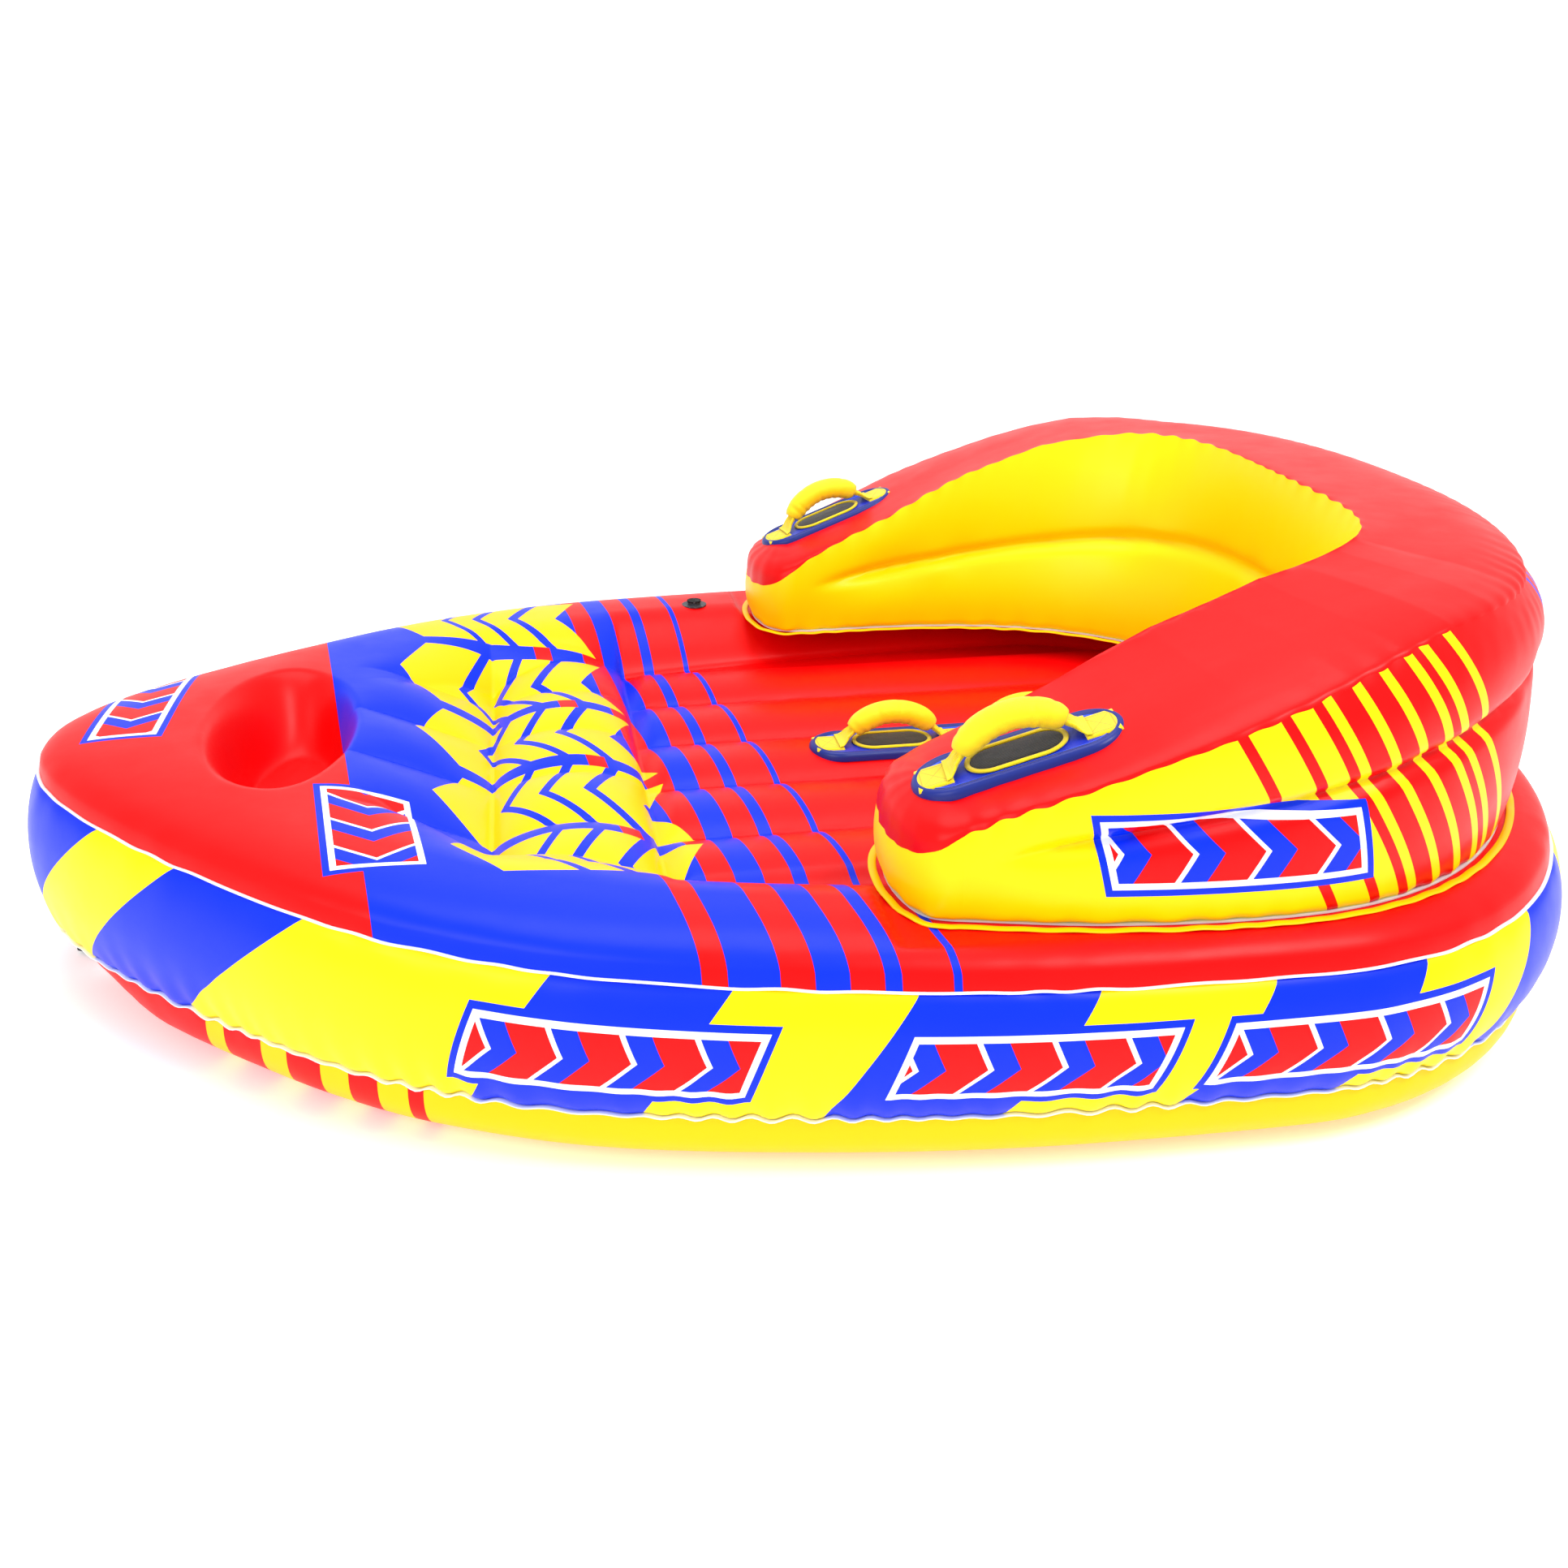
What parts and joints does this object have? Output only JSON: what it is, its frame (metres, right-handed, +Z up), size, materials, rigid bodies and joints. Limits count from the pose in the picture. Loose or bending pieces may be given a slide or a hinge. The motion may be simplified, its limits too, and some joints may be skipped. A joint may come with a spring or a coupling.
{
  "type": "towable tube",
  "caption": "Inflatable towable deck tube with raised side arms and a wrap-round backrest, grab handles and a tow connector.",
  "frame": {"origin": "on the ground under the middle of the overall length and width", "axes": "+X towards the bow, +Y to port, +Z up"},
  "size_m": [2.0571, 1.4698, 0.6031],
  "materials": {
    "deck_vinyl": "satin printed vinyl",
    "band_vinyl": "satin printed vinyl",
    "bottom_vinyl": "satin printed vinyl",
    "backrest_wall_vinyl": "satin printed vinyl",
    "backrest_top_vinyl": "satin printed vinyl",
    "seam_vinyl": "welded flange",
    "inner_vinyl": "unprinted vinyl",
    "moulded_patch": "moulded, satin",
    "webbing": "woven polyester",
    "grip_fabric": "nylon cover",
    "foam": "closed-cell foam",
    "guard_pad": "neoprene",
    "binding": "bound tape",
    "valve_plastic": "clear moulded",
    "valve_rubber": "soft",
    "connector_plastic": "glass-filled nylon",
    "steel": "brushed"
  },
  "bodies": {
    "hull": {"bottom_panel": "bottom_vinyl", "lower_seam_flange": "seam_vinyl", "side_band": "band_vinyl", "upper_seam_flange": "seam_vinyl", "deck_panel": "deck_vinyl", "floor_webs": "inner_vinyl", "footwell_web": "inner_vinyl", "bow_well_web": "inner_vinyl", "backrest_base_flange": "seam_vinyl", "backrest_base_panel": "inner_vinyl", "backrest_wall": "backrest_wall_vinyl", "backrest_top_panel": "backrest_top_vinyl", "backrest_baffle": "inner_vinyl", "port_arm_patch": "moulded_patch", "port_arm_webbing_tabs": "webbing", "port_arm_knuckle_guard": "guard_pad", "port_arm_guard_binding": "binding", "starboard_arm_patch": "moulded_patch", "starboard_arm_webbing_tabs": "webbing", "starboard_arm_knuckle_guard": "guard_pad", "starboard_arm_guard_binding": "binding", "centre_patch": "moulded_patch", "centre_webbing_tabs": "webbing", "centre_front_knuckle_guard": "guard_pad", "centre_front_guard_binding": "binding", "centre_rear_knuckle_guard": "guard_pad", "centre_rear_guard_binding": "binding", "hull_valve_base": "valve_plastic", "hull_valve_flap": "valve_rubber", "backrest_valve_base": "valve_plastic", "backrest_valve_flap": "valve_rubber", "tow_patch": "moulded_patch", "tow_strap": "webbing"},
    "port_arm_grip": {"port_arm_strap": "webbing", "port_arm_grip_core": "foam", "port_arm_grip_sleeve": "grip_fabric"},
    "starboard_arm_grip": {"starboard_arm_strap": "webbing", "starboard_arm_grip_core": "foam", "starboard_arm_grip_sleeve": "grip_fabric"},
    "centre_front_grip": {"centre_front_strap": "webbing", "centre_front_grip_core": "foam", "centre_front_grip_sleeve": "grip_fabric"},
    "centre_rear_grip": {"centre_rear_strap": "webbing", "centre_rear_grip_core": "foam", "centre_rear_grip_sleeve": "grip_fabric"},
    "hull_plug": {"hull_valve_plug": "valve_plastic"},
    "backrest_plug": {"backrest_valve_plug": "valve_plastic"},
    "connector": {"tow_connector": "connector_plastic", "tow_bar": "steel"}
  },
  "joints": [
    {"name": "port_arm_rock", "type": "hinge", "parent": "hull", "child": "port_arm_grip", "pos_m": [-0.16675, 0.534, 0.43397], "axis": [0.9394, -0.1253, -0.319], "range_deg": [-25, 25], "stiffness_Nm_per_rad": 0.3},
    {"name": "starboard_arm_rock", "type": "hinge", "parent": "hull", "child": "starboard_arm_grip", "pos_m": [-0.16675, -0.534, 0.43397], "axis": [0.9394, 0.1253, -0.319], "range_deg": [-25, 25], "stiffness_Nm_per_rad": 0.3},
    {"name": "centre_front_rock", "type": "hinge", "parent": "hull", "child": "centre_front_grip", "pos_m": [-0.161, 0, 0.235], "axis": [1, 0, 0], "range_deg": [-25, 25], "stiffness_Nm_per_rad": 0.3},
    {"name": "centre_rear_rock", "type": "hinge", "parent": "hull", "child": "centre_rear_grip", "pos_m": [-0.363, 0, 0.235], "axis": [1, 0, 0], "range_deg": [-25, 25], "stiffness_Nm_per_rad": 0.3},
    {"name": "hull_plug_pull", "type": "slide", "parent": "hull", "child": "hull_plug", "axis": [0, 0, 1], "range_m": [0, 0.014]},
    {"name": "backrest_plug_pull", "type": "slide", "parent": "hull", "child": "backrest_plug", "axis": [-1, 0, 0], "range_m": [0, 0.014]},
    {"name": "tow_connector_swing", "type": "hinge", "parent": "hull", "child": "connector", "pos_m": [0.936, 0, 0.0125], "axis": [0, -1, 0], "range_deg": [-6, 20]}
  ]
}
